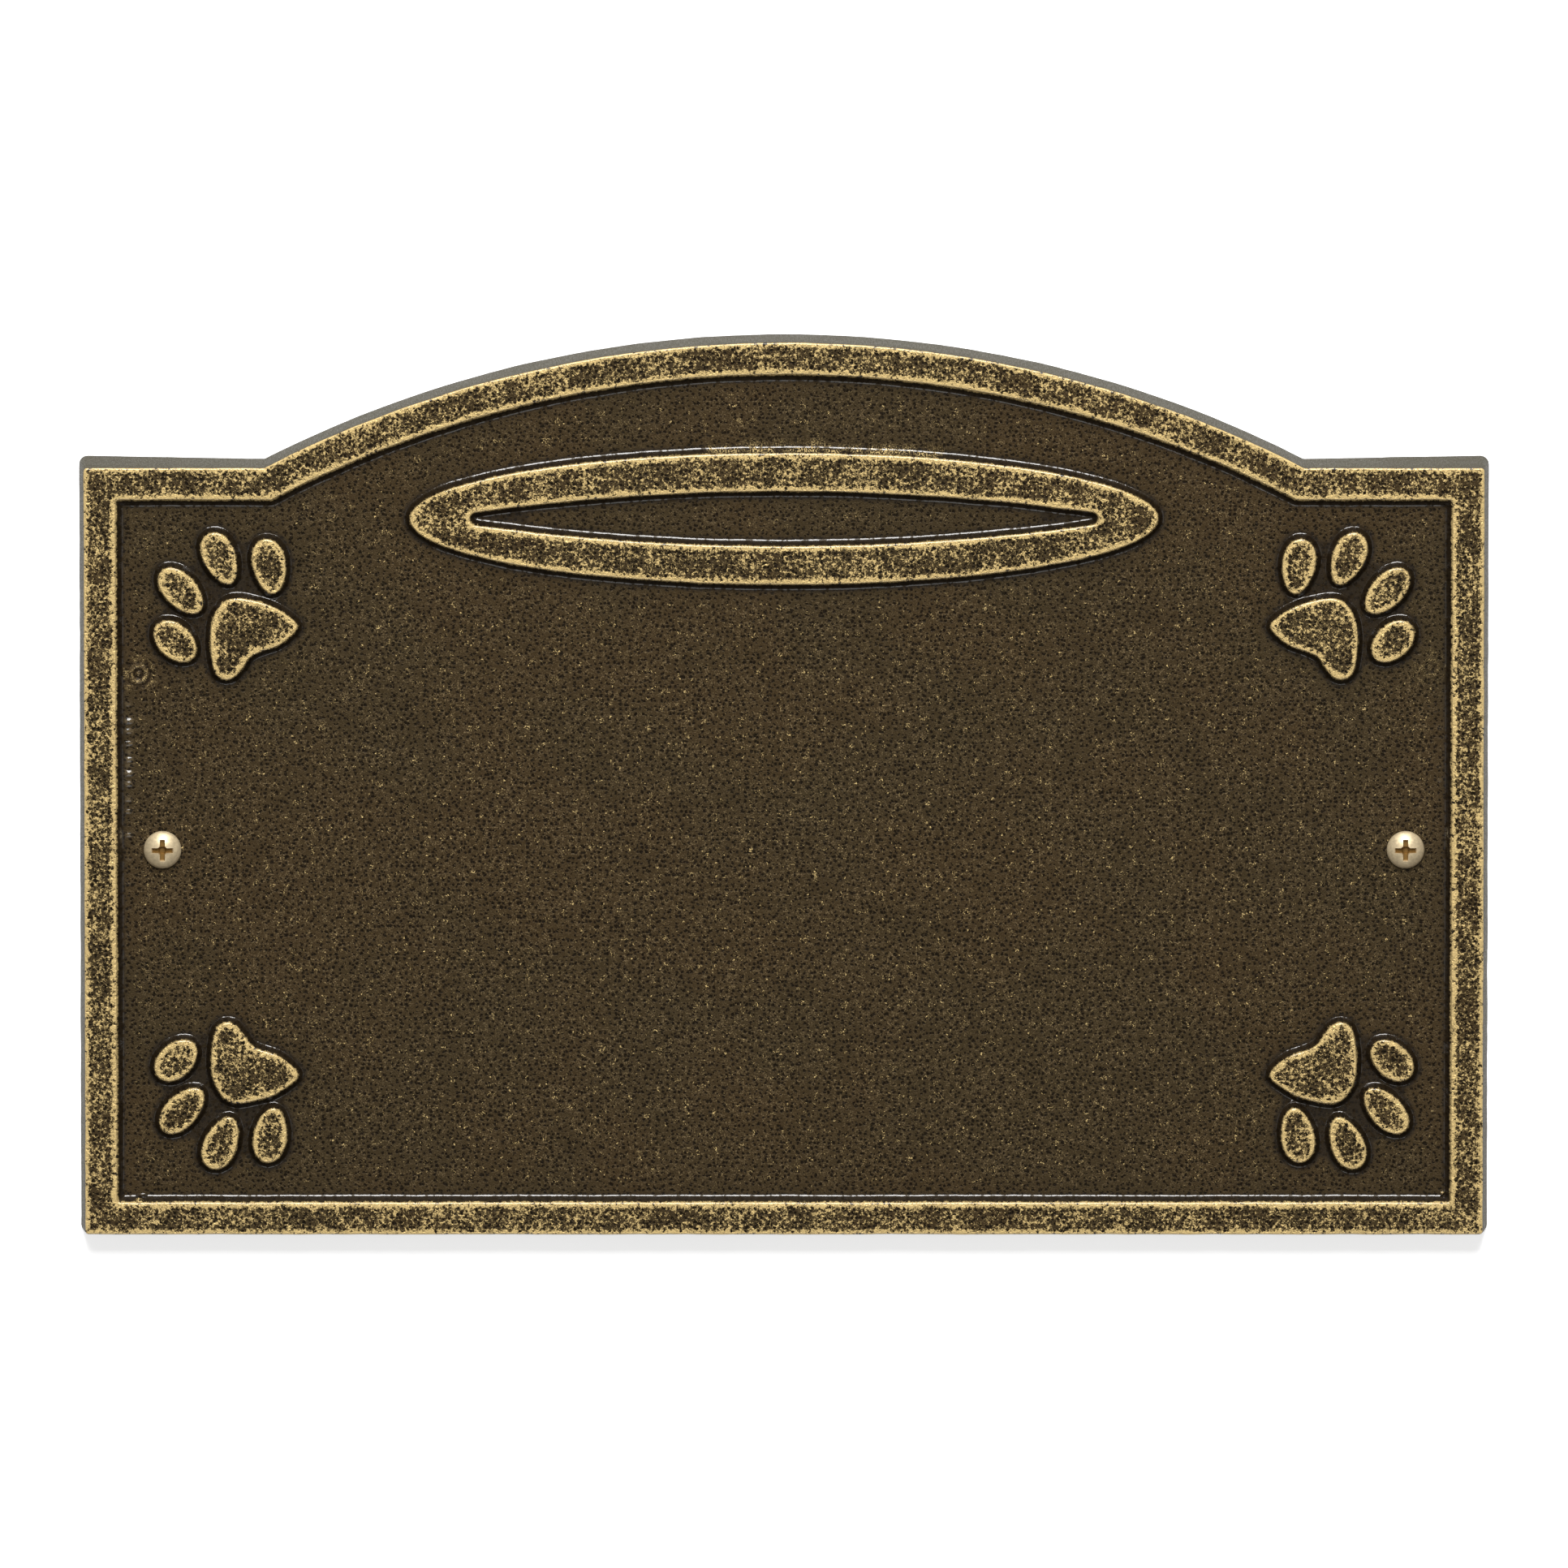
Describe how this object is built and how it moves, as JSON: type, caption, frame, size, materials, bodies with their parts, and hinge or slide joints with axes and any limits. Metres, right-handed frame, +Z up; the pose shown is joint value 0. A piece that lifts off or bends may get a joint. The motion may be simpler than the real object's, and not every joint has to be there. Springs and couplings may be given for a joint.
{
  "type": "flat grave marker",
  "caption": "Arch-topped cast-metal memorial plate with a raised border, a lens-shaped ring, corner paw prints and domed fixing screws; blank field.",
  "frame": {"origin": "on the underside, below the middle of the plate's box", "axes": "+Z up out of the face, +X along the long side to the right as the face is read, +Y towards the arched top edge"},
  "size_m": [0.3938, 0.253, 0.0109],
  "materials": {
    "bronzed_casting": "cast aluminium under a dark bronze-brown paint, pitted, with the raised tops rubbed back to a pale brass colour; plain grey-brown paint on the edges",
    "screw_brass": "satin brass, darker in the cross recess"
  },
  "bodies": {
    "root": {"marker_plate": "bronzed_casting", "screw_left": "screw_brass", "screw_right": "screw_brass"}
  },
  "joints": []
}
